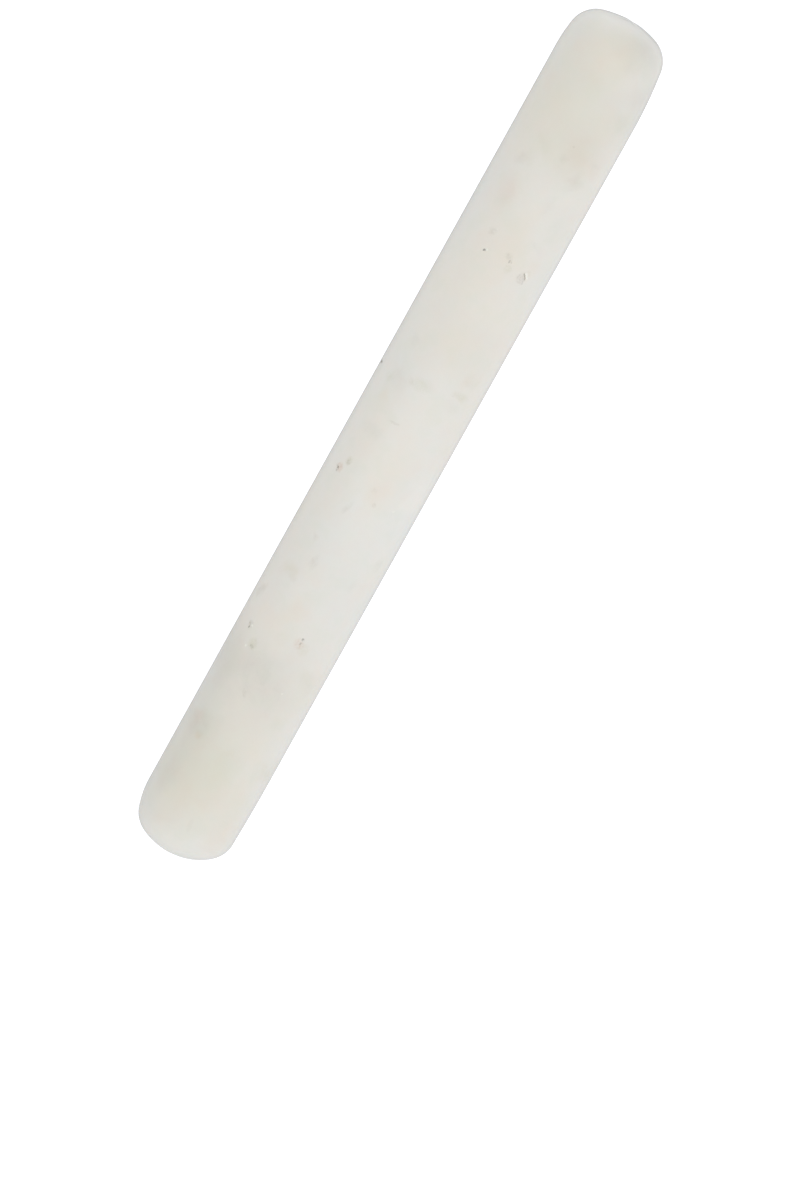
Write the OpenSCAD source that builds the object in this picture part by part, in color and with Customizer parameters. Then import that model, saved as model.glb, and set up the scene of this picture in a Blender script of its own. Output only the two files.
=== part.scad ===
// One-piece rolling pin, turned from a solid bar of white marble.
//
// The pin lies along X with its middle at the origin and Z up. The barrel is a true
// cylinder. Each end is ground by hand into three blended zones: a sloped shoulder, a
// round corner and a domed face. The grinding leans a few degrees from the barrel's
// own axis, so the two sides of an end aren't quite alike.

/* [Barrel] */
// Length of the pin, from tip to tip
pin_length = 400; // [250:1:500]
// Diameter of the barrel
barrel_diameter = 45; // [38:0.5:56]

/* [Right end] */
// Length of the right end that the grinding takes in
right_ground = 21; // [16:0.5:26]
// Slope of the right shoulder, in degrees
right_slope = 8.5; // [6.5:0.5:12]
// Radius of the right corner
right_corner = 12.5; // [6:0.5:14.5]
// Height of the right face's dome, if it ran out to the barrel's full width
right_dome = 6.7; // [3:0.1:9]
// Lean of the right end's grinding, in degrees
right_lean = 2; // [0:0.5:4]
// How far the right end's grinding is off the barrel's own axis, towards +Y
right_offset = 0.6; // [0:0.1:1]

/* [Left end] */
// Length of the left end that the grinding takes in
left_ground = 20; // [18:0.5:28]
// Slope of the left shoulder, in degrees
left_slope = 8.5; // [6.5:0.5:12]
// Radius of the left corner
left_corner = 12.5; // [6:0.5:14.5]
// Height of the left face's dome, if it ran out to the barrel's full width
left_dome = 11; // [6:0.1:11]
// Lean of the left end's grinding, in degrees
left_lean = 5.5; // [0:0.5:5.5]

/* [Natural pits] */
// Width of the widest open pit in the stone
pit_width = 3.2; // [1:0.1:4]
// Depth of the widest open pit
pit_depth = 0.5; // [0.2:0.05:0.8]

/* [Hidden] */
$fn = 96;

barrel_radius = barrel_diameter / 2;

// How far a shape runs on past the stone, where another shape cuts it off
overrun = 5;

// Turns of the bar and of the ground shapes about their own axes. Each round shape has
// a seam where its outline starts, and these keep one seam from running into another.
bar_turn = 64;
ground_turn = 30;

// Each pit: its place along the bar as a share of the half length, its turn up from
// the -Y side in degrees, and its size as a share of the widest pit's
PITS = [
    [0.44, 58, 1.00],
    [0.46, 108, 0.30],
    [0.46, 78, 0.40],
    [-0.09, 137, 0.45],
    [-0.44, 76, 0.35],
    [-0.47, 137, 0.40],
    [-0.50, 122, 0.30]
];

// Radius of a dome that rises by its height over the barrel's full width
function dome_radius(dome) = (pow(barrel_radius, 2) + pow(dome, 2)) / (2 * dome);

// Distance from the tip back to the plane of the corner's centre, where one circle of
// radius corner touches both the dome's circle and the shoulder's line
function corner_setback(ground, slope, corner, dome) =
    let (
        crown = dome_radius(dome),
        rise = tan(slope),
        base = barrel_radius - ground * rise - corner / cos(slope),
        half = crown - base * rise,
        inner = pow(crown, 2) + pow(base, 2) - pow(crown - corner, 2)
    )
    (half - sqrt(pow(half, 2) - (1 + pow(rise, 2)) * inner)) / (1 + pow(rise, 2));

// Distance from the grinding's axis to the corner's centre
function corner_reach(ground, slope, corner, setback) =
    barrel_radius - (ground - setback) * tan(slope) - corner / cos(slope);

// Half outline of what the grinding of an end leaves, with its axis along Y. The
// shoulder crosses the barrel's radius at y = 0, and the tip is at y = ground. Behind
// y = 0 the shoulder's slope runs on, outside the barrel, past the pin's other end.
module end_outline(ground, slope, corner, dome) {
    crown = dome_radius(dome);
    setback = corner_setback(ground, slope, corner, dome);
    corner_centre = [corner_reach(ground, slope, corner, setback), ground - setback];
    crown_centre = [0, ground - crown];
    outward = (corner_centre - crown_centre) / norm(corner_centre - crown_centre);
    crown_touch = crown_centre + crown * outward;
    shoulder_touch = corner_centre + corner * [cos(slope), sin(slope)];
    back = pin_length + overrun;
    back_radius = barrel_radius + back * tan(slope);

    intersection() {
        union() {
            // Shoulder, and everything under the corner and the dome
            polygon([
                [0, -back],
                [back_radius, -back],
                shoulder_touch,
                corner_centre,
                crown_touch,
                [0, crown_touch[1]]
            ]);
            // Corner
            translate(corner_centre)
                circle(r = corner);
            // Dome, as far out as the point where the corner takes over
            intersection() {
                translate(crown_centre)
                    circle(r = crown);
                translate([0, crown_touch[1]])
                    square([crown_touch[0], crown]);
            }
        }
        // Nothing crosses the grinding's axis
        translate([0, -back])
            square([back_radius + overrun, back + ground + overrun]);
    }
}

// The solid of revolution that the grinding of the end at +X keeps inside. Its axis
// leans towards -Y about the start of the ground length, where it is off the barrel's
// axis by the offset.
module ground_end(ground, slope, corner, dome, lean, offset = 0) {
    translate([pin_length / 2 - ground, offset, 0])
        rotate([0, 0, -lean])
            rotate([0, 90, 0])
                rotate([0, 0, ground_turn])
                    rotate_extrude()
                        end_outline(ground, slope, corner, dome);
}

// A round natural pit in the barrel, cut by a ball that dips in by the pit's depth
module pit(place, turn, share) {
    width = pit_width * share;
    depth = pit_depth * share;
    ball = (pow(width / 2, 2) + pow(depth, 2)) / (2 * depth);
    translate([place * pin_length / 2, 0, 0])
        rotate([90 - turn, 0, 0])
            translate([0, 0, barrel_radius - depth + ball])
                sphere(r = ball);
}

// The whole pin: one bar of stone, inside both ground shapes, less its natural pits
module marble_pin() {
    color([0.87, 0.86, 0.83])
        difference() {
            intersection() {
                rotate([0, 90, 0])
                    rotate([0, 0, bar_turn])
                        cylinder(h = pin_length + 2 * overrun, r = barrel_radius, center = true);
                ground_end(
                    right_ground, right_slope, right_corner, right_dome, right_lean, right_offset
                );
                mirror([1, 0, 0])
                    ground_end(left_ground, left_slope, left_corner, left_dome, left_lean);
            }
            for (p = PITS)
                pit(p[0], p[1], p[2]);
        }
}

marble_pin();
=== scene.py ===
# %% [markdown]
# A marble rolling pin in one piece, for rolling out dough and pastry. The real pin is one bar
# of white marble: turned to a plain cylinder, ground round by hand at each end, then honed
# until it is smooth but not shiny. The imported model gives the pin's true size and place. This
# script makes a finer surface at that same place, gives it a marble finish, and sets up a
# plain studio around it.

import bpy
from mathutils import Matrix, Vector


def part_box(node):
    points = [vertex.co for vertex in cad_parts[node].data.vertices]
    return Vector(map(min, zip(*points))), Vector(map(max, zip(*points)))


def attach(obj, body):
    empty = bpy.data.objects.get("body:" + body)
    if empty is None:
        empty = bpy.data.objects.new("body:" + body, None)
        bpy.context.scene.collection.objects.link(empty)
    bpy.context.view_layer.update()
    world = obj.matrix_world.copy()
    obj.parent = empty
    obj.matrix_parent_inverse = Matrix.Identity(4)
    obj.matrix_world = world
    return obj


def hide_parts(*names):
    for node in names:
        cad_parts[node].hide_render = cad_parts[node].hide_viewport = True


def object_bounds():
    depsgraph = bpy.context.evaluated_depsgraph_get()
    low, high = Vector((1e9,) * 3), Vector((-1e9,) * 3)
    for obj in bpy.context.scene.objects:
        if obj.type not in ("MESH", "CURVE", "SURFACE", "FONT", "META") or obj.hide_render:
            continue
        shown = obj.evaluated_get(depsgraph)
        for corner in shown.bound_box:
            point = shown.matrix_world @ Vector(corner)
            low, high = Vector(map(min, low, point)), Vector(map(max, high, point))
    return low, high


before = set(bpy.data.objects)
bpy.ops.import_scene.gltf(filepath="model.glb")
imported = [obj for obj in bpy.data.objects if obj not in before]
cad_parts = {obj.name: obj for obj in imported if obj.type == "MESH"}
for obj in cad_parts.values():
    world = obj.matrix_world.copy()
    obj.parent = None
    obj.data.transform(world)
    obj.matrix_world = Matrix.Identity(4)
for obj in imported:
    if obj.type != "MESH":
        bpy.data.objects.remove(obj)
cad_low, cad_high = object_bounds()
print("CAD box in metres:", [round(v, 5) for v in (*cad_low, *cad_high)])

# %% Other modules, and the unit that sizes are written in
from collections import namedtuple
from math import cos, pi, radians, sin, sqrt, tan

import bpy
import numpy as np
from mathutils import Matrix, Vector

MM = 0.001
print("Blender", bpy.app.version_string)

# %% [markdown]
# The pin lies along X with its middle at the origin and Z up. Two things say where a mark on
# it is: its place along X, and its turn, which is the angle up from the -Y side. A turn of 90
# degrees is the top of the pin. The barrel's radius and the pin's length are read from the
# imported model's box, so that the surface can't drift away from it.

# %% Read the barrel's size from the frame
pin_low, pin_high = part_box("marble_pin")
PIN_LENGTH = round(pin_high.x - pin_low.x, 4)
BARREL_RADIUS = round((pin_high.y - pin_low.y) / 2, 5)
print("pin", PIN_LENGTH, "m long, barrel radius", BARREL_RADIUS, "m")

# %% [markdown]
# Each end was ground by hand. Going out from the barrel it has a sloped shoulder, a round
# corner and a domed face. It leans a little, and the right one starts a little off the
# barrel's axis too, as hand work does. The shape could be drawn as an outline and spun, but a
# spun shape can't lean. So each end is a formula instead: the distance from any point to the
# ground surface, negative inside the stone. The pin is where the barrel and both ends agree
# that there is stone.

# %% Name the two ends' sizes
End = namedtuple("End", "side ground slope corner dome lean offset")
RIGHT_END = End(1, 21 * MM, radians(8.5), 12.5 * MM, 6.7 * MM, radians(2), 0.6 * MM)
LEFT_END = End(-1, 20 * MM, radians(8.5), 12.5 * MM, 11 * MM, radians(5.5), 0)
print("ground lengths in mm:", RIGHT_END.ground / MM, "and", LEFT_END.ground / MM)


# %% Find the centre of an end's round corner
def corner_centre(end):
    """How far back from the tip, and out from the axis, the corner's circle has its centre.

    The circle touches the dome's circle from inside, so the two centres are the dome's radius
    less the corner's apart, and it touches the shoulder's line, so its centre lies on that
    line moved in by the corner's radius. Together that is a quadratic in the distance back.
    """
    crown = (BARREL_RADIUS ** 2 + end.dome ** 2) / (2 * end.dome)
    rise = tan(end.slope)
    base = BARREL_RADIUS - end.ground * rise - end.corner / cos(end.slope)
    half = crown - base * rise
    inner = crown ** 2 + base ** 2 - (crown - end.corner) ** 2
    back = (half - sqrt(half ** 2 - (1 + rise ** 2) * inner)) / (1 + rise ** 2)
    return crown, back, base + rise * back


for end in (RIGHT_END, LEFT_END):
    print("dome radius, corner back and out in mm:", [round(v / MM, 2) for v in corner_centre(end)])


# %% Measure how far points are from an end's ground surface
def end_distance(points, end):
    """Distance from each point to one end's ground surface, negative inside the stone.

    A point is given by its distance along the grinding's leaning axis and out from it. If it
    faces the dome, its distance is that to the dome's centre less the dome's radius. If it
    faces the corner, it is the same with the corner's circle, and otherwise it is the
    distance to the shoulder's straight line.
    """
    crown, back, out = corner_centre(end)
    x = points[..., 0] * end.side - (PIN_LENGTH / 2 - end.ground)
    y = points[..., 1] - end.offset
    along = x * cos(end.lean) - y * sin(end.lean) - (end.ground - back)
    aside = np.hypot(x * sin(end.lean) + y * cos(end.lean), points[..., 2])
    from_crown = along + crown - back
    dome = np.hypot(from_crown, aside) - crown
    corner = np.hypot(along, aside - out) - end.corner
    shoulder = (aside - out) * cos(end.slope) + along * sin(end.slope) - end.corner
    faces_dome = aside * (crown - back) < out * from_crown
    faces_corner = (aside - out) * sin(end.slope) < along * cos(end.slope)
    return np.where(faces_dome, dome, np.where(faces_corner, corner, shoulder))


tips = np.array([[PIN_LENGTH / 2, 0, 0], [-PIN_LENGTH / 2, 0, 0]])
print("tips to ground surfaces in mm:", np.round(end_distance(tips, RIGHT_END) / MM, 3))

# %% [markdown]
# Where two surfaces meet on hand-ground stone there is no hard line, because the abrasive
# rounds it over. A smooth maximum of the distances does the same: it is the larger of the two,
# plus a little where they are nearly equal. The pin isn't quite true either. A few long waves
# round it and along it take off less than a tenth of a millimetre, and more at the ends, and
# honing has taken off a hundredth of a millimetre everywhere.

# %% Blend the three surfaces and add the unevenness of hand work
SOFT_EDGE = 1.2 * MM
BARREL_WAVE = 0.03 * MM
END_WAVE = 0.11 * MM
END_REACH = 22 * MM
HONED_OFF = 0.01 * MM
# How far along the pin each pattern of waves goes while it turns by a radian, and the turn
# in radians that each one starts at
BARREL_TWISTS = (61 * MM, 43 * MM)
BARREL_START = 0.8
END_TWIST = 9 * MM
END_START = 0.6


def smooth_maximum(first, second):
    """The larger of two distances, raised by up to a quarter of the soft edge where they meet."""
    nearness = np.maximum(SOFT_EDGE - np.abs(first - second), 0)
    return np.maximum(first, second) + nearness ** 2 / (4 * SOFT_EDGE)


def hand_work(points):
    """How much stone hand work has taken off.

    There are two patterns of waves, and each is 1 plus a product of two slow sines of turn
    and place, so that it never adds stone. The second one fades in over the end reach.
    """
    x = points[..., 0]
    turn = np.arctan2(points[..., 2], -points[..., 1])
    near_tip = np.clip((np.abs(x) - PIN_LENGTH / 2 + END_REACH) / END_REACH, 0, 1) ** 2
    one_way, other_way = BARREL_TWISTS
    barrel = 1 + np.sin(2 * turn + x / one_way) * np.cos(turn - x / other_way + BARREL_START)
    tip = 1 + np.sin(3 * turn + END_START) * np.sin(x / END_TWIST + 2 * turn)
    return HONED_OFF + BARREL_WAVE * barrel + END_WAVE * near_tip * tip


def stone_distance(points):
    """Distance to the pin's surface: the smooth maximum of barrel, right end and left end."""
    barrel = np.hypot(points[..., 1], points[..., 2]) - BARREL_RADIUS
    ends = smooth_maximum(end_distance(points, RIGHT_END), end_distance(points, LEFT_END))
    return smooth_maximum(barrel, ends) + hand_work(points)


middle = np.array([[0, 0, BARREL_RADIUS]])
print("stone taken off at the top of the middle, in mm:", np.round(stone_distance(middle) / MM, 3))

# %% [markdown]
# Small natural pits show where crystals broke out of the stone. They are only one to five
# millimetres across, so the grid needs close lines there and wide ones elsewhere. The lines
# are spaced by a density: even everywhere, with a bump at each pit, summed up and read
# backwards.

# %% List the natural pits
# Place along X in mm, turn in degrees, half sizes along X and round the pin in mm, tilt in
# degrees, depth in mm, and skew: how far the deepest line lies from the middle towards the
# lower turns, as a share of the half size
Pit = namedtuple("Pit", "place turn along around tilt depth skew")
PITS = [
    Pit(88.4, 58.5, 2.3, 2.2, 20, 0.50, 0.65),
    Pit(92.0, 78, 0.9, 0.7, 35, 0.22, 0.30),
    Pit(91.2, 108, 0.5, 0.5, 0, 0.40, 0.00),
    Pit(-18.8, 137.5, 1.3, 0.8, 20, 0.20, 0.20),
    Pit(-88.7, 75.5, 0.8, 0.8, 0, 0.20, 0.20),
    Pit(-94.5, 138.5, 1.1, 0.8, 10, 0.20, 0.20),
    Pit(-101.7, 121, 0.9, 1.0, 0, 0.16, 0.20),
]
print(len(PITS), "pits, the deepest", max(p.depth for p in PITS), "mm")


# %% Space grid lines closely near given places
FINE_STEPS = 20000


def crowded(stop, count, places, reach, weight):
    """Values from 0 to stop, closer together near the places.

    The density of lines is 1 plus, for each place, the weight times a bell as wide as the
    reach. Its running sum is cut into equal steps, and each step is read back to a value.
    """
    fine = np.linspace(0, stop, FINE_STEPS)
    density = 1 + sum(weight * np.exp(-((fine - p) / reach) ** 2) for p in places)
    running = np.cumsum(density) - density[0]
    return np.interp(np.linspace(0, running[-1], count), running, fine)


# Distance from each tip to the point that its last rays fan out from
FAN_INSET = 24 * MM
ROWS = 470
LAPS = 204
ROW_REACH = 4 * MM
ROW_WEIGHT = 2.5
LAP_REACH = radians(7)
LAP_WEIGHT = 1.2

fan = BARREL_RADIUS * pi / 2
spine = PIN_LENGTH - 2 * FAN_INSET
pit_walks = [p.place * MM + spine / 2 + fan for p in PITS]
pit_turns = [radians(p.turn) for p in PITS]
walk = crowded(spine + 2 * fan, ROWS, pit_walks, ROW_REACH, ROW_WEIGHT)
turn = crowded(2 * pi, LAPS + 1, pit_turns, LAP_REACH, LAP_WEIGHT)[:-1]
gaps = np.diff(walk) / MM
print("rows lie between", round(gaps.min(), 2), "and", round(gaps.max(), 2), "mm apart")


# %% [markdown]
# Every vertex lies on a ray that starts on the pin's axis. Along the barrel the rays stand
# square to the axis, and near each tip they fan out from one point until the last one runs
# along the axis. The surface is where the distance along a ray turns from stone to air, and
# halving the stretch again and again finds it for the whole grid at once.

# %% Cast the rays and find the surface
HALVINGS = 40


def rays(walk, turn):
    """Start and direction of each ray, from its way along the pin and its turn.

    The heading is how far a ray leans from square towards a tip: minus a quarter turn at the
    left tip, zero on the barrel and a quarter turn at the right tip.
    """
    way, lap = np.meshgrid(walk, turn, indexing="ij")
    heading = np.minimum(way - fan, 0) / BARREL_RADIUS
    heading = heading + np.maximum(way - fan - spine, 0) / BARREL_RADIUS
    start = np.zeros(way.shape + (3,))
    start[..., 0] = np.clip(way - fan, 0, spine) - spine / 2
    sideways = np.cos(heading)
    parts = [np.sin(heading), -sideways * np.cos(lap), sideways * np.sin(lap)]
    return start, np.stack(parts, axis=-1)


def meet_surface(start, direction):
    """Distance along each ray to the stone's surface, by halving the stretch it lies in."""
    near = np.zeros(start.shape[:-1])
    far = np.full(start.shape[:-1], 2 * BARREL_RADIUS)
    for _ in range(HALVINGS):
        half = (near + far) / 2
        outside = stone_distance(start + direction * half[..., None]) > 0
        far = np.where(outside, half, far)
        near = np.where(outside, near, half)
    return (near + far) / 2


ray_start, ray_direction = rays(walk, turn)
reach = meet_surface(ray_start, ray_direction)
surface = ray_start + ray_direction * reach[..., None]
print("surface spans", np.round(surface.min((0, 1)), 5), "to", np.round(surface.max((0, 1)), 5))


# %% [markdown]
# A pit has its own small frame: along the pin, round the pin, and straight in. The same frame
# serves the geometry here and the colour later, so a stain or painted shade can't slide off its
# pit.

# %% Sink the pits into the surface
BOWL_POWER = 1.3


def mark_frame(place, turn_degrees, tilt_degrees):
    """Centre of a mark on the barrel, and the matrix whose columns are its own three axes."""
    angle = radians(turn_degrees)
    centre = Vector((place * MM, -BARREL_RADIUS * cos(angle), BARREL_RADIUS * sin(angle)))
    lie = Matrix.Rotation(pi / 2 - angle, 3, "X")
    return centre, lie @ Matrix.Rotation(radians(tilt_degrees), 3, "Z")


def pit_depth(points, pit):
    """Depth of one pit at each point.

    It is a bowl: 1 less the squared distance from the deepest line, where the distance is
    counted in shares of the way to the rim. A power a little over 1 rounds the rim off. The
    skew moves the deepest line, so the wall on one side is steep and the other rises gently.
    """
    centre, axes = mark_frame(pit.place, pit.turn, pit.tilt)
    local = (points - np.array(centre)) @ np.array(axes)
    along = local[..., 0] / (pit.along * MM)
    around = local[..., 1] / (pit.around * MM) + pit.skew
    around = np.where(around < 0, around / (1 - pit.skew), around / (1 + pit.skew))
    above = local[..., 2] > -BARREL_RADIUS / 2
    bowl = np.clip(1 - along ** 2 - around ** 2, 0, 1) * above
    return pit.depth * MM * bowl ** BOWL_POWER


sunk = sum(pit_depth(surface, pit) for pit in PITS)
surface = surface - ray_direction * sunk[..., None]
print("deepest point of a pit:", round(sunk.max() / MM, 2), "mm")


# %% [markdown]
# The grid becomes a mesh of four-sided faces. The first and last rows shrink to a point at
# each tip, so each is kept as one vertex with a fan of triangles. The last lap joins the
# first, which closes the surface, and the corners run so that every face points outwards.

# %% Turn the grid into one closed piece
def closed_skin(name, grid):
    """A mesh object from rows of points round an axis, whose end rows are single points."""
    rows, laps = grid.shape[0] - 2, grid.shape[1]
    body = grid[1:-1].reshape(-1, 3)
    points = np.vstack([body, grid[0, :1], grid[-1, :1]])
    number = np.arange(rows * laps).reshape(rows, laps)
    after = np.roll(number, -1, axis=1)
    quads = np.stack([number[:-1], number[1:], after[1:], after[:-1]], axis=-1).reshape(-1, 4)
    first, last = rows * laps, rows * laps + 1
    start_fan = np.stack([np.full(laps, first), number[0], after[0]], axis=-1)
    end_fan = np.stack([np.full(laps, last), after[-1], number[-1]], axis=-1)
    mesh = bpy.data.meshes.new(name)
    mesh.from_pydata(points, [], quads.tolist() + start_fan.tolist() + end_fan.tolist())
    mesh.shade_smooth()
    piece = bpy.data.objects.new(name, mesh)
    bpy.context.scene.collection.objects.link(piece)
    return piece


marble_bar = closed_skin("marble_bar", surface)
triangles = sum(len(face.vertices) - 2 for face in marble_bar.data.polygons)
print("marble_bar has", triangles, "triangles")

# %% [markdown]
# The finish is worked out by shader nodes. Written as nodes, the sums are hard to read, so one
# small class wraps a node's output and lets Python's own signs add the Math nodes: with it,
# 1 - mask is a wire like any other, and so is a wire that is mapped from one range of values
# onto another. One method adds every kind of node, with its settings first and its sockets
# after.


# %% Make shader sums readable
class Wire:
    """One output socket of a node. Arithmetic on it adds Math nodes to the same tree."""

    def __init__(self, tree, socket):
        self.tree = tree
        self.socket = socket

    def maths(self, operation, first, second):
        """A Math node in this wire's tree."""
        settings = {"operation": operation}
        return self.tree.node("ShaderNodeMath", settings, {0: first, 1: second})

    def mapped(self, low, high, start=0.0, end=1.0, kind="LINEAR"):
        """This value, moved from the range low to high onto start to end, and held in there."""
        sockets = {"Value": self, 1: low, 2: high, 3: start, 4: end}
        return self.tree.node("ShaderNodeMapRange", {"interpolation_type": kind}, sockets)

    def __add__(self, other):
        return self.maths("ADD", self, other)

    def __sub__(self, other):
        return self.maths("SUBTRACT", self, other)

    def __mul__(self, other):
        return self.maths("MULTIPLY", self, other)

    def __radd__(self, other):
        return self.maths("ADD", other, self)

    def __rsub__(self, other):
        return self.maths("SUBTRACT", other, self)

    def __rmul__(self, other):
        return self.maths("MULTIPLY", other, self)


class Tree:
    """A node tree that is filled by one method."""

    def __init__(self, owner):
        owner.use_nodes = True
        self.nodes = owner.node_tree.nodes
        self.links = owner.node_tree.links
        self.nodes.clear()

    def node(self, kind, settings, sockets, output=0):
        """Adds a node, sets it up, fills or links its sockets, and wraps one of its outputs."""
        made = self.nodes.new(kind)
        for name, value in settings.items():
            setattr(made, name, value)
        for key, value in sockets.items():
            if isinstance(value, Wire):
                self.links.new(value.socket, made.inputs[key])
            else:
                made.inputs[key].default_value = value
        return Wire(self, made.outputs[output]) if made.outputs else made


def stone_colour(red, green, blue):
    """A colour given in the 0 to 255 of a paint program, as the linear values nodes need.

    A share below 0.04045 is divided by 12.92. Any other is raised to the power 2.4, once
    0.055 is added to it and to 1. These numbers are what sRGB colour is defined by.
    """
    shares = np.array([red, green, blue]) / 255
    linear = np.where(shares < 0.04045, shares / 12.92, ((shares + 0.055) / 1.055) ** 2.4)
    return (*(float(v) for v in linear), 1.0)


print("white marble in linear values:", np.round(stone_colour(235, 233, 226), 3))

# %% [markdown]
# Marble is a mass of tiny crystals with faint clouds of other minerals in it. The clouds have
# no sharp edge and no regular outline. A noise texture pushes the coordinates about before
# anything is drawn with them, so that everything drawn with them gets an edge like that: a
# strong slow push for the clouds, and a weak fine one for the small spots.

# %% Start the marble and bend its coordinates
NOISE_ROUGHNESS = 0.55
# Nearly all of a noise's values lie between the low and the high one
NOISE_LOW = 0.35
NOISE_MIDDLE = 0.5
NOISE_HIGH = 0.65
# Each push: about how wide the noise's lumps are, and twice how far they move things
STRONG_PUSH = (22 * MM, 12 * MM)
MIDDLE_PUSH = (5 * MM, 5 * MM)
FINE_PUSH = (1.2 * MM, 1.6 * MM)

marble = bpy.data.materials.new("honed_marble")
sheet = Tree(marble)
here = sheet.node("ShaderNodeTexCoord", {}, {}, "Object")


def noise(place, size, detail, output="Fac"):
    """Noise whose lumps are about as wide as the size, in metres."""
    sockets = {"Vector": place, "Scale": 1 / size, "Detail": detail, "Roughness": NOISE_ROUGHNESS}
    return sheet.node("ShaderNodeTexNoise", {"noise_dimensions": "3D"}, sockets, output)


def pushed(place, size, amount):
    """The place moved by a noise vector, by up to about half the amount either way."""
    push = noise(place, size, 2, "Color")
    centring = {0: push, 1: (NOISE_MIDDLE,) * 3}
    centred = sheet.node("ShaderNodeVectorMath", {"operation": "SUBTRACT"}, centring)
    moving = {0: centred, 1: (amount,) * 3, 2: place}
    return sheet.node("ShaderNodeVectorMath", {"operation": "MULTIPLY_ADD"}, moving)


cloud_place = pushed(pushed(here, *STRONG_PUSH), *MIDDLE_PUSH)
spot_place = pushed(here, *FINE_PUSH)
print("marble started with", len(sheet.nodes), "nodes")


# %% [markdown]
# A cloud or spot is an ellipsoid in the stone. A Mapping node moves, turns and shrinks the
# coordinates until the ellipsoid is a ball of radius one at the origin. A spherical gradient
# is then 1 at the mark's centre and 0 at its rim, and a smooth step turns it into a mask as
# strong as the mark. Because the ellipsoid is solid, the mark stays right wherever the
# surface cuts it.

# %% Draw one mark in the stone
def mark(place, centre_x, turn_degrees, along, around, tilt, strength, edge):
    """A mask that has its full strength inside the edge's share and fades to 0 at the rim."""
    centre, axes = mark_frame(centre_x, turn_degrees, tilt)
    sockets = {
        "Vector": place,
        "Location": centre,
        "Rotation": axes.to_euler(),
        "Scale": (along * MM, around * MM, max(along, around) * MM),
    }
    local = sheet.node("ShaderNodeMapping", {"vector_type": "TEXTURE"}, sockets)
    ball = {"gradient_type": "SPHERICAL"}
    nearness = sheet.node("ShaderNodeTexGradient", ball, {"Vector": local}, "Fac")
    return nearness.mapped(0.0, 1 - edge, 0.0, strength, "SMOOTHSTEP")


def painted(colour, tint, share):
    """The colour with a share of the tint mixed in, by a node in the share's own tree."""
    settings = {"data_type": "RGBA"}
    return share.tree.node("ShaderNodeMix", settings, {0: share, 6: colour, 7: tint}, 2)


# %% [markdown]
# The white ground of the stone isn't one white. Slow lumps of a warmer and a cooler white run
# into each other, medium ones mottle them, and the crystals themselves differ by a shade.

# %% Mix the white ground
WARM_WHITE = stone_colour(238, 234, 226)
COOL_WHITE = stone_colour(235, 235, 231)
CRYSTAL_WHITE = stone_colour(250, 250, 247)
SLOW_SIZE = 45 * MM
MOTTLE_SIZE = 9 * MM
CRYSTAL_SIZE = 1.1 * MM
CRYSTAL_SHARE = 0.04
MOTTLE_SHARE = 0.06

slow = noise(cloud_place, SLOW_SIZE, 3)
mottle = noise(here, MOTTLE_SIZE, 4)
stone = painted(COOL_WHITE, WARM_WHITE, slow.mapped(NOISE_LOW, NOISE_HIGH))
crystal_sockets = {"Vector": spot_place, "Scale": 1 / CRYSTAL_SIZE}
crystal = sheet.node("ShaderNodeTexVoronoi", {}, crystal_sockets, "Color")
crystal_shade = sheet.node("ShaderNodeSeparateColor", {}, {"Color": crystal})
stone = painted(stone, CRYSTAL_WHITE, crystal_shade * CRYSTAL_SHARE + mottle * MOTTLE_SHARE)
print("the white ground is in, with", len(sheet.nodes), "nodes")
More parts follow.
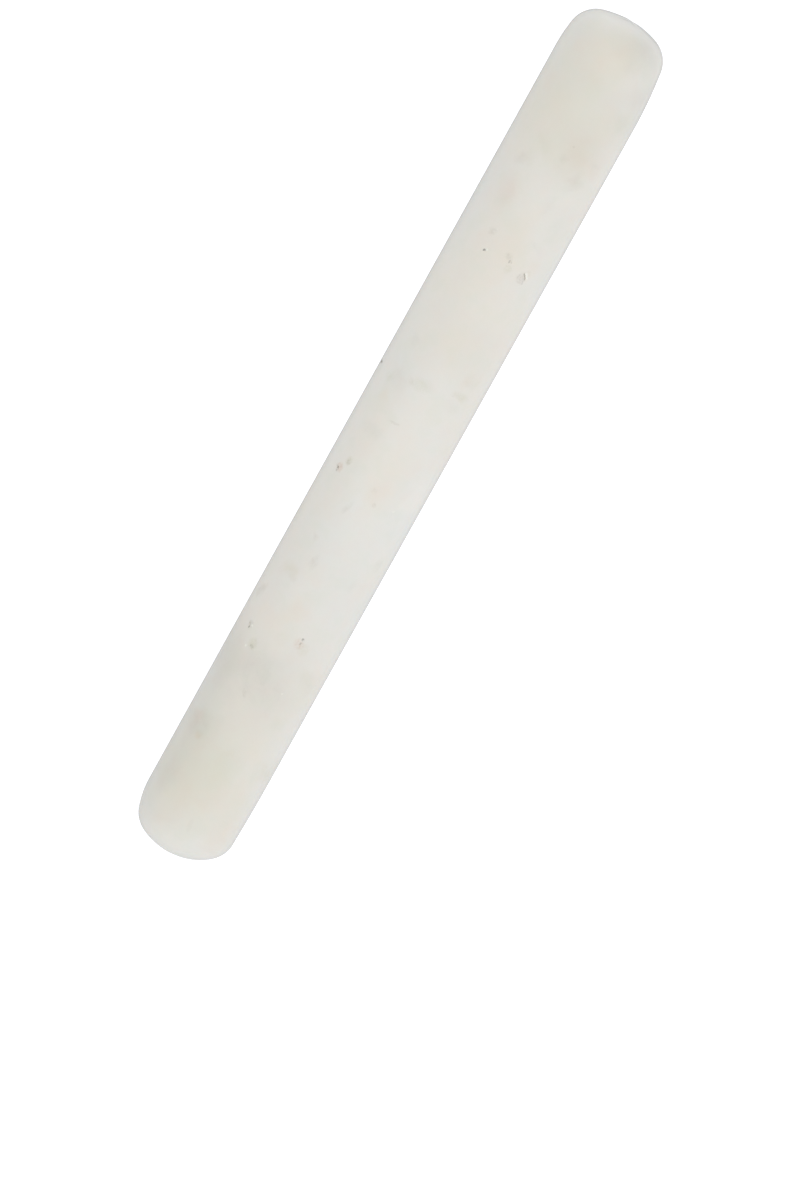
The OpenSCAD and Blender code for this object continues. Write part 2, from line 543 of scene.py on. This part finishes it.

# %% [markdown]
# The clouds were read off the real pin one by one: where each lies, how far it reaches and how
# strong it is. Most come in a few tints only, because the stone holds only a few minerals.
# Iron gives the straw, peach, pink and amber tints, and fine mica the grey and moss ones. One
# grey tint is mostly painted shade, where the pin turns away from the light, and one white
# cloud is painted light, where the left tip takes light from the floor.

# %% List the soft clouds by tint
# Place along X in mm, turn in degrees, half sizes along X and round the pin in mm, tilt in
# degrees, strength
Cloud = namedtuple("Cloud", "place turn along around tilt strength")
CLOUDS = {
    "white": [
        # Painted light: the left tip is made lighter all round, for the light it takes from the
        # white floor.
        Cloud(-196, 90, 16, 45, 0, 0.40),
        Cloud(-15, 36, 14, 9, 0, 0.30),
        Cloud(-10, 100, 60, 30, 0, 0.40),
        Cloud(-70, 108, 12, 9, 0, 0.20),
        Cloud(-48, 34, 26, 14, 0, 0.25),
        Cloud(70, 140, 60, 16, 0, 0.20),
    ],
    "shade_and_grey": [
        # Mostly painted shade: the +Y flank of the left half and the right end, which turn away
        # from the light, are made darker. The rest darken the top in broad patches.
        Cloud(-150, 145, 60, 18, 0, 0.30),
        Cloud(-167, 137, 17, 8, 0, 0.12),
        Cloud(-113, 130, 26, 10, 0, 0.22),
        Cloud(-110, 155, 30, 14, 0, 0.28),
        Cloud(-115, 74, 36, 24, 0, 0.22),
        Cloud(145, 74, 26, 18, 0, 0.25),
        Cloud(172, 64, 20, 14, 0, 0.12),
        Cloud(50, 56, 24, 14, 0, 0.10),
        Cloud(112, 44, 16, 10, 0, 0.08),
        Cloud(150, 46, 30, 14, 0, 0.12),
        Cloud(175, 24, 26, 14, 0, 0.25),
        Cloud(196, 64, 12, 22, 0, 0.45),
    ],
    "straw": [
        Cloud(-162, 88, 42, 34, 0, 0.28),
        Cloud(-152, 116, 42, 28, 0, 0.22),
        Cloud(-152, 78, 14, 11, 0, 0.20),
        Cloud(-91, 92, 6, 6, 0, 0.15),
        Cloud(-124, 54, 5, 5, 0, 0.20),
        Cloud(141, 112, 7, 6, 0, 0.22),
        Cloud(165, 108, 44, 34, 0, 0.30),
        Cloud(172, 92, 12, 8, 0, 0.18),
        Cloud(190, 78, 14, 18, 0, 0.25),
        Cloud(32.5, 53, 2.5, 5, 0, 0.25),
        Cloud(29, 98, 3.5, 6, 0, 0.20),
        Cloud(-66, 134, 5, 7, 0, 0.30),
    ],
    "peach": [
        Cloud(-178, 43, 17, 13, 0, 0.35),
        Cloud(-160, 50, 14, 10, 0, 0.25),
        Cloud(-140, 58, 10, 10, 0, 0.35),
        Cloud(-54, 30, 26, 14, 0, 0.30),
        Cloud(-10, 124, 60, 11, 0, 0.22),
        Cloud(-10, 78, 28, 16, 0, 0.30),
        Cloud(-20, 86, 12, 8, 0, 0.15),
        Cloud(16.5, 131, 4, 4, 0, 0.30),
        Cloud(52, 82, 18, 12, 0, 0.35),
        Cloud(94, 50, 6, 7, 0, 0.20),
        Cloud(97, 84, 26, 9, 0, 0.35),
        Cloud(141, 52, 9, 12, 0, 0.30),
        Cloud(158, 62, 14, 10, 0, 0.25),
        Cloud(-78, 96, 11, 8, 0, 0.30),
        Cloud(158, 118, 9, 8, 0, 0.25),
        Cloud(184, 98, 22, 22, 0, 0.35),
        Cloud(89, 60, 9, 8, 0, 0.25),
    ],
    "amber": [
        Cloud(145, 72, 9, 10, 0, 0.12),
        Cloud(-147, 131, 2.5, 3, 0, 0.20),
    ],
    "pink": [
        Cloud(-141, 139, 6, 4, 0, 0.25),
        Cloud(116, 119, 11, 7, 0, 0.17),
    ],
    "grey": [
        Cloud(-112, 90, 15, 15, 0, 0.30),
        Cloud(-108, 110, 16, 10, 0, 0.25),
        Cloud(-47, 34, 5, 4, 0, 0.15),
        Cloud(-59, 52, 5, 5, 0, 0.15),
        Cloud(143, 45, 3.5, 4, 0, 0.20),
        Cloud(101, 62, 3, 5, 0, 0.15),
        Cloud(117, 71, 8, 5, 0, 0.12),
        Cloud(3, 126, 6, 8, 0, 0.15),
        Cloud(46, 128, 4, 5, 0, 0.15),
        Cloud(190, 50, 10, 14, 0, 0.20),
    ],
    "moss": [
        Cloud(-147, 32, 9, 11, 0, 0.14),
        Cloud(-103, 40, 7, 11, 0, 0.12),
        Cloud(162, 42, 8, 9, 0, 0.10),
        Cloud(27, 62, 4, 7, 0, 0.08),
        Cloud(41, 49, 6, 6, 0, 0.12),
        Cloud(23, 133, 4, 4, 0, 0.15),
        Cloud(-143, 126, 11, 9, 0, 0.07),
    ],
    "brown": [
        Cloud(-143, 140, 9, 8, 0, 0.17),
        Cloud(-79.5, 151, 3.5, 3, 0, 0.25),
        Cloud(-82, 155, 3, 3.5, 0, 0.30),
        Cloud(-56.5, 107, 5, 2, -15, 0.15),
        Cloud(-32, 104, 4, 2, 0, 0.12),
        Cloud(-48, 117, 3, 2, 0, 0.12),
        Cloud(25, 125, 9, 8, 0, 0.10),
        Cloud(117, 119, 9, 7, 0, 0.06),
        Cloud(132, 122, 6, 6, 0, 0.12),
        Cloud(142, 87, 2.5, 2.5, 0, 0.15),
        Cloud(133, 62, 7, 6, 0, 0.12),
    ],
}
TINTS = {
    "white": stone_colour(248, 247, 242),
    "shade_and_grey": stone_colour(205, 203, 195),
    "straw": stone_colour(222, 219, 200),
    "peach": stone_colour(238, 228, 214),
    "amber": stone_colour(226, 206, 176),
    "pink": stone_colour(238, 216, 208),
    "grey": stone_colour(214, 213, 206),
    "moss": stone_colour(200, 198, 170),
    "brown": stone_colour(190, 180, 166),
}
print(sum(len(rows) for rows in CLOUDS.values()), "clouds in", len(TINTS), "tints")

# %% [markdown]
# The broad clouds are even, and only a little stronger here and weaker there. The small dark
# ones are broken up: noise a few millimetres across thins them in places and leaves others
# nearly whole, as grains of mica lie in clusters.

# %% Paint the clouds
BROKEN_TINTS = ("grey", "moss", "brown")
EVEN_BASE = 0.7
EVEN_SWING = 0.6
CLUSTER_SIZE = 4 * MM
BROKEN_LEAST = 0.6
BROKEN_MOST = 1.3

unevenness = EVEN_BASE + mottle * EVEN_SWING
clusters = noise(cloud_place, CLUSTER_SIZE, 5)
broken = clusters.mapped(NOISE_LOW, NOISE_HIGH, BROKEN_LEAST, BROKEN_MOST)
for tint, colour in TINTS.items():
    share = sum(mark(cloud_place, *cloud, edge=0) for cloud in CLOUDS[tint])
    stone = painted(stone, colour, share * (broken if tint in BROKEN_TINTS else unevenness))
print("clouds painted, with", len(sheet.nodes), "nodes")

# %% [markdown]
# The white also leans towards pink in some places and towards green in others, so faintly that
# it shows only next to its neighbour. One noise decides: where it is high it brings the pink,
# and where it is low the green.

# %% Let the white lean to pink and green
BLUSH = stone_colour(240, 218, 212)
SAGE = stone_colour(214, 228, 206)
LEAN_SHARE = 0.07
LEAN_SIZE = 9 * MM

lean = noise(spot_place, LEAN_SIZE, 2)
blush_share = lean.mapped(NOISE_MIDDLE, NOISE_HIGH, 0.0, LEAN_SHARE)
sage_share = lean.mapped(NOISE_MIDDLE, NOISE_LOW, 0.0, LEAN_SHARE)
stone = painted(stone, BLUSH, blush_share)
stone = painted(stone, SAGE, sage_share)
print("pink and green are in, with", len(sheet.nodes), "nodes")

# %% [markdown]
# Small spots are sharper and darker. Most are the stained pits, each with a halo where iron
# has crept into the white round it. Some stand in for light and shade: painted shade down the
# shell-shaped hollow, a dark line along its steep wall and the pinhole's black, both partly
# dirt and partly painted shade, and pale painted highlights where the light catches pit rims
# and the stone. Two pale spots are crystals.

# %% List the small spots by tint
SPOTS = {
    "halo": [
        Cloud(-90.5, 76.8, 3.1, 2.9, 0, 0.30),
        Cloud(-18, 135, 2.8, 2.8, 30, 0.40),
    ],
    "moss": [
        Cloud(-92, 70, 4, 3.5, 30, 0.10),
        Cloud(-100.6, 121.5, 3.2, 3, 0, 0.22),
        Cloud(29, 98, 3.4, 6.5, 5, 0.08),
        Cloud(32.5, 52, 2.4, 5.5, -5, 0.08),
        Cloud(89, 76.5, 2.6, 2.4, 0, 0.14),
        Cloud(90.6, 53.5, 2.2, 2.0, 20, 0.10),
        Cloud(-13.6, 127, 2.6, 2.2, 0, 0.20),
    ],
    "smudge_and_shade": [
        # The first is painted shade down the gentle side of the shell-shaped hollow. The rest are
        # smudges and soft stains in the stone.
        Cloud(87.7, 58.6, 3.1, 2.8, 30, 0.27),
        Cloud(93.6, 82, 2.4, 2.0, 45, 0.20),
        Cloud(99.4, 110.5, 2.3, 2.2, 0, 0.18),
        Cloud(-94.5, 137, 2.6, 2.4, 0, 0.16),
        Cloud(-81, 152, 4.5, 4, 0, 0.08),
        Cloud(-112.4, 75, 1, 1.8, 0, 0.06),
        Cloud(-120, 102.5, 2.8, 1.2, 35, 0.14),
        Cloud(-181, 84.5, 5, 1.2, 8, 0.06),
        Cloud(-14, 127, 1.7, 1.3, 0, 0.22),
        Cloud(10.2, 102.5, 0.8, 3.4, 8, 0.15),
        Cloud(28.5, 108, 1.8, 2, 0, 0.06),
        Cloud(-24, 79, 1.4, 1.2, 0, 0.16),
        Cloud(-18.5, 86, 1.6, 1.8, 0, 0.09),
        Cloud(-56.7, 106.5, 4.4, 1.7, -20, 0.08),
        Cloud(-31.7, 104, 3, 1.5, -15, 0.08),
        Cloud(-48, 117, 1.8, 1.6, 0, 0.07),
        Cloud(-68, 117, 2, 3, 0, 0.07),
        Cloud(146, 79, 0.7, 0.7, 0, 0.20),
    ],
    "dark": [
        # The first two are a thin dark line along the steep wall of the shell-shaped hollow: partly
        # dirt in its crevice, partly painted shadow.
        Cloud(88.9, 55.1, 2.1, 0.4, 34, 0.60),
        Cloud(86.4, 54.4, 1.1, 0.4, 6, 0.35),
        Cloud(91.8, 79.2, 0.9, 0.45, 4, 0.36),
        Cloud(92.1, 77.8, 0.9, 0.45, 65, 0.36),
        Cloud(-88.2, 75.3, 0.9, 0.8, 0, 0.52),
        Cloud(-90.0, 75.6, 0.7, 0.6, 0, 0.35),
        Cloud(-95.4, 137.4, 0.9, 0.8, 0, 0.50),
        Cloud(-94.5, 138.3, 1.9, 0.5, 40, 0.45),
        Cloud(-101.7, 121.2, 1.0, 1.1, 0, 0.26),
        Cloud(-19.0, 137.5, 1.8, 0.7, 20, 0.30),
        Cloud(-18.6, 137.3, 0.7, 1.7, -15, 0.26),
        Cloud(-18.3, 136, 1.2, 0.55, 60, 0.12),
        Cloud(-80.8, 154.5, 1, 0.7, 0, 0.08),
        Cloud(27.3, 167, 1.0, 2.4, 0, 0.75),
        Cloud(31.6, 62, 0.7, 1.4, 0, 0.05),
    ],
    "black": [
        # The pinhole's black is partly dirt and partly painted shade inside the hole.
        Cloud(91.1, 108.3, 0.8, 0.8, 0, 1.00),
    ],
    "pale_and_highlight": [
        # All but the ones at -112.8 and 101 are painted highlights: the lit lip of the shell-shaped
        # hollow and glints by the pits and on the stone. Those two are pale crystals.
        Cloud(89.6, 53.6, 2.3, 0.7, 34, 0.90),
        Cloud(91.7, 106.0, 0.7, 0.6, 0, 0.90),
        Cloud(-94.5, 133.5, 0.7, 0.7, 0, 0.80),
        Cloud(-103, 128.5, 0.9, 0.7, 0, 0.80),
        Cloud(-112.8, 66, 0.7, 0.7, 0, 0.40),
        Cloud(-23, 56, 0.8, 1.2, 0, 0.25),
        Cloud(101, 107.5, 0.6, 0.5, 0, 0.40),
    ],
}
SPOT_TINTS = {
    "halo": stone_colour(222, 200, 186),
    "moss": stone_colour(196, 194, 160),
    "smudge_and_shade": stone_colour(190, 184, 172),
    "dark": stone_colour(116, 110, 98),
    "black": stone_colour(40, 36, 32),
    "pale_and_highlight": stone_colour(252, 252, 244),
}
print(sum(len(rows) for rows in SPOTS.values()), "spots in", len(SPOT_TINTS), "tints")

# %% Paint the spots
SPOT_EDGE = 0.35
GRIT_SIZE = 0.9 * MM
CRUMBLE_LEAST = 0.35
CRUMBLE_MOST = 1.35

grit = noise(here, GRIT_SIZE, 3)
crumble = grit.mapped(NOISE_LOW, NOISE_HIGH, CRUMBLE_LEAST, CRUMBLE_MOST)
for tint, colour in SPOT_TINTS.items():
    share = sum(mark(spot_place, *spot, edge=SPOT_EDGE) for spot in SPOTS[tint])
    stone = painted(stone, colour, share * crumble)
print("spots painted, with", len(sheet.nodes), "nodes")

# %% [markdown]
# The pin's underside can't be seen from above, so nothing is known of its clouds. It still
# can't be blank: anyone who picks the pin up sees it. There the same tints come from noise
# alone, held back to the lower half by the height above the axis.

# %% Let noise cloud the underside
# Heights above the axis where these clouds begin and where they have their full strength
CLOUDS_BEGIN = 2 * MM
CLOUDS_FULL = -10 * MM
# Tint, size of the noise's lumps in mm, the noise's values where a patch begins and where it
# is whole, and its share there
Patch = namedtuple("Patch", "tint size begins whole share")
PATCHES = [
    Patch(TINTS["straw"], 38, 0.50, 0.68, 0.50),
    Patch(TINTS["grey"], 27, 0.52, 0.70, 0.40),
    Patch(TINTS["moss"], 17, 0.60, 0.76, 0.30),
    Patch(SPOT_TINTS["smudge_and_shade"], 5, 0.66, 0.74, 0.35),
]

height = sheet.node("ShaderNodeSeparateXYZ", {}, {"Vector": here}, "Z")
underside = height.mapped(CLOUDS_BEGIN, CLOUDS_FULL)
for patch in PATCHES:
    lumps = noise(cloud_place, patch.size * MM, 4)
    shape = lumps.mapped(patch.begins, patch.whole, kind="SMOOTHSTEP")
    stone = painted(stone, patch.tint, underside * shape * patch.share)
print("underside clouded, with", len(sheet.nodes), "nodes")

# %% [markdown]
# A honed surface is smooth but not polished: light spreads out when it bounces off. So the
# roughness is low but not zero and varies a little from crystal to crystal, and the stained
# pits are duller. The bump is a few hundredths of a millimetre: a fine grain, the crystals'
# own facets and a slow ripple. Light also goes a few millimetres into marble before it comes
# out again, which a little subsurface scattering gives.

# %% Finish the marble's shine and depth
HONED_ROUGHNESS = 0.14
CRYSTAL_ROUGHNESS = 0.03
MOTTLE_ROUGHNESS = 0.06
PIT_ROUGHNESS = 0.20
GRAIN_SIZE = 0.7 * MM
RIPPLE_SIZE = 5 * MM
# Heights in shares of the bump's distance
GRAIN_HEIGHT = 0.4
FACET_HEIGHT = 0.2
RIPPLE_HEIGHT = 1.5
BUMP_DISTANCE = 0.02 * MM
BUMP_STRENGTH = 0.6
MARBLE_IOR = 1.45
SCATTER_SHARE = 0.25
SCATTER_DEPTH = 3 * MM
SCATTER_BY_COLOUR = (1.0, 0.85, 0.7)

in_pit = sum(mark(spot_place, *pit[:5], strength=1, edge=0) for pit in PITS)
roughness = HONED_ROUGHNESS + crystal_shade * CRYSTAL_ROUGHNESS
roughness = roughness + mottle * MOTTLE_ROUGHNESS + in_pit * PIT_ROUGHNESS
grain = noise(here, GRAIN_SIZE, 3) * GRAIN_HEIGHT + crystal_shade * FACET_HEIGHT
relief = grain + noise(here, RIPPLE_SIZE, 2) * RIPPLE_HEIGHT
bump_sockets = {"Height": relief, "Distance": BUMP_DISTANCE, "Strength": BUMP_STRENGTH}
bump = sheet.node("ShaderNodeBump", {}, bump_sockets, "Normal")
shader = sheet.node(
    "ShaderNodeBsdfPrincipled",
    {"subsurface_method": "RANDOM_WALK"},
    {
        "Base Color": stone,
        "Roughness": roughness,
        "Normal": bump,
        "IOR": MARBLE_IOR,
        "Subsurface Weight": SCATTER_SHARE,
        "Subsurface Radius": SCATTER_BY_COLOUR,
        "Subsurface Scale": SCATTER_DEPTH,
    },
)
sheet.node("ShaderNodeOutputMaterial", {}, {"Surface": shader})
marble_bar.data.materials.append(marble)
print("honed_marble has", len(sheet.nodes), "nodes")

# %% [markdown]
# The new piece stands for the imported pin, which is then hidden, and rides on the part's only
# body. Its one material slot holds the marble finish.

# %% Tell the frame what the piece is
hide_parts("marble_pin")
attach(marble_bar, "root")
print("marble_bar stands for marble_pin and rides on root")

# %% [markdown]
# The pin lies on white, with soft light from everywhere but a little less from the +Y side.
# The floor is a white light table, as product photographers use: it glows a little, so that it
# stays white and the pin's shadow stays faint. The table itself isn't mirrored in the stone.

# %% Lay the floor
FLOOR_HALF = 8.0
FLOOR_GREY = (0.2, 0.2, 0.2, 1)
FLOOR_ROUGHNESS = 0.9
FLOOR_GLOW = 0.93
FLOOR_GLOW_TINT = (1, 1.01, 1.05, 1)

floor_sides = ((-1, -1), (1, -1), (1, 1), (-1, 1))
floor_corners = [(x * FLOOR_HALF, y * FLOOR_HALF, cad_low.z) for x, y in floor_sides]
floor_mesh = bpy.data.meshes.new("floor")
floor_mesh.from_pydata(floor_corners, [], [(0, 1, 2, 3)])
floor = bpy.data.objects.new("floor", floor_mesh)
bpy.context.scene.collection.objects.link(floor)
floor.visible_glossy = False
acrylic = bpy.data.materials.new("white_acrylic")
acrylic_sheet = Tree(acrylic)
acrylic_sockets = {
    "Base Color": FLOOR_GREY,
    "Roughness": FLOOR_ROUGHNESS,
    "Emission Color": FLOOR_GLOW_TINT,
    "Emission Strength": FLOOR_GLOW,
}
acrylic_shader = acrylic_sheet.node("ShaderNodeBsdfPrincipled", {}, acrylic_sockets)
acrylic_sheet.node("ShaderNodeOutputMaterial", {}, {"Surface": acrylic_shader})
floor_mesh.materials.append(acrylic)
print("floor at", round(cad_low.z, 4), "m")

# %% [markdown]
# The sky stands for a white tent round the table. It is brightest overhead, falls off towards
# the horizon, and is dimmer and a little warmer on the far side, +Y. Under the horizon it is
# what the stone mirrors where it turns away: dimmer, and darkest straight down, so the pin
# gets a thin grey outline. There is no lamp, so no light makes a highlight; the few glints on
# the stone are painted into its colour.

# %% Light the studio
HORIZON_LEVEL = 0.665
OVERHEAD_RISE = 0.43
FAR_SIDE_LOSS = 0.26
NEAR_SIDE_LOSS = 0.04
BELOW_LEVEL = 0.55
STRAIGHT_DOWN_LEVEL = 0.28
# The upward part of a direction, for how wide the horizon's blur is either way, and for where
# the darkening towards straight down begins
HORIZON_BLUR = 0.02
DARKENING_BEGINS = -0.9
HORIZON_TINT = (0.98, 1.0, 1.02, 1)
OVERHEAD_TINT = (1.0, 0.995, 0.98, 1)
FAR_SIDE_TINT = (0.995, 0.985, 0.95, 1)

world = bpy.data.worlds.new("studio")
bpy.context.scene.world = world
sky_sheet = Tree(world)
direction = sky_sheet.node("ShaderNodeTexCoord", {}, {}, "Generated")
upward = sky_sheet.node("ShaderNodeSeparateXYZ", {}, {"Vector": direction}, "Z")
sideways = sky_sheet.node("ShaderNodeSeparateXYZ", {}, {"Vector": direction}, "Y")
far_side = sideways.maths("MAXIMUM", sideways, 0.0)
near_side = far_side - sideways
above = upward.mapped(-HORIZON_BLUR, HORIZON_BLUR)
below = upward.mapped(-1.0, DARKENING_BEGINS, STRAIGHT_DOWN_LEVEL, BELOW_LEVEL)
tent = HORIZON_LEVEL + upward * OVERHEAD_RISE
losses = far_side * FAR_SIDE_LOSS + near_side * NEAR_SIDE_LOSS
level = below + above * (tent - below) - losses
tint = painted(HORIZON_TINT, OVERHEAD_TINT, upward)
tint = painted(tint, FAR_SIDE_TINT, far_side * above)
sky = sky_sheet.node("ShaderNodeBackground", {}, {"Color": tint, "Strength": level})
sky_sheet.node("ShaderNodeOutputWorld", {}, {"Surface": sky})
print("sky from", HORIZON_LEVEL, "at the horizon to", HORIZON_LEVEL + OVERHEAD_RISE, "overhead")

# %% [markdown]
# The camera looks almost straight down, leaning ten degrees towards the pin's +X end, which is
# why that end looks a little larger. It is turned about its own line of sight until the pin
# runs up to the right. Its three axes are worked out from those angles and become the columns
# of its matrix.

# %% Place the camera
CAMERA_DISTANCE = 2.63
CAMERA_LEAN = radians(10)
AIM = Vector((-57.87 * MM, -33.04 * MM, 0))
PIN_SLANT = radians(60.77)
LENS = 190
FARTHEST_SEEN = 50

camera_place = CAMERA_DISTANCE * Vector((sin(CAMERA_LEAN), 0, cos(CAMERA_LEAN)))
forward = (AIM - camera_place).normalized()
pin_way = (Vector((1, 0, 0)) - forward.x * forward).normalized()
square_way = forward.cross(pin_way)
right_way = cos(PIN_SLANT) * pin_way + sin(PIN_SLANT) * square_way
down_way = cos(PIN_SLANT) * square_way - sin(PIN_SLANT) * pin_way
camera_data = bpy.data.cameras.new("camera")
camera_data.lens = LENS
camera_data.clip_end = FARTHEST_SEEN
camera = bpy.data.objects.new("camera", camera_data)
turned = Matrix((right_way, -down_way, -forward)).transposed().to_4x4()
camera.matrix_world = Matrix.Translation(camera_place) @ turned
bpy.context.scene.collection.objects.link(camera)
bpy.context.scene.camera = camera
bpy.context.scene.view_settings.view_transform = "Standard"
print("camera at", [round(v, 3) for v in camera_place])
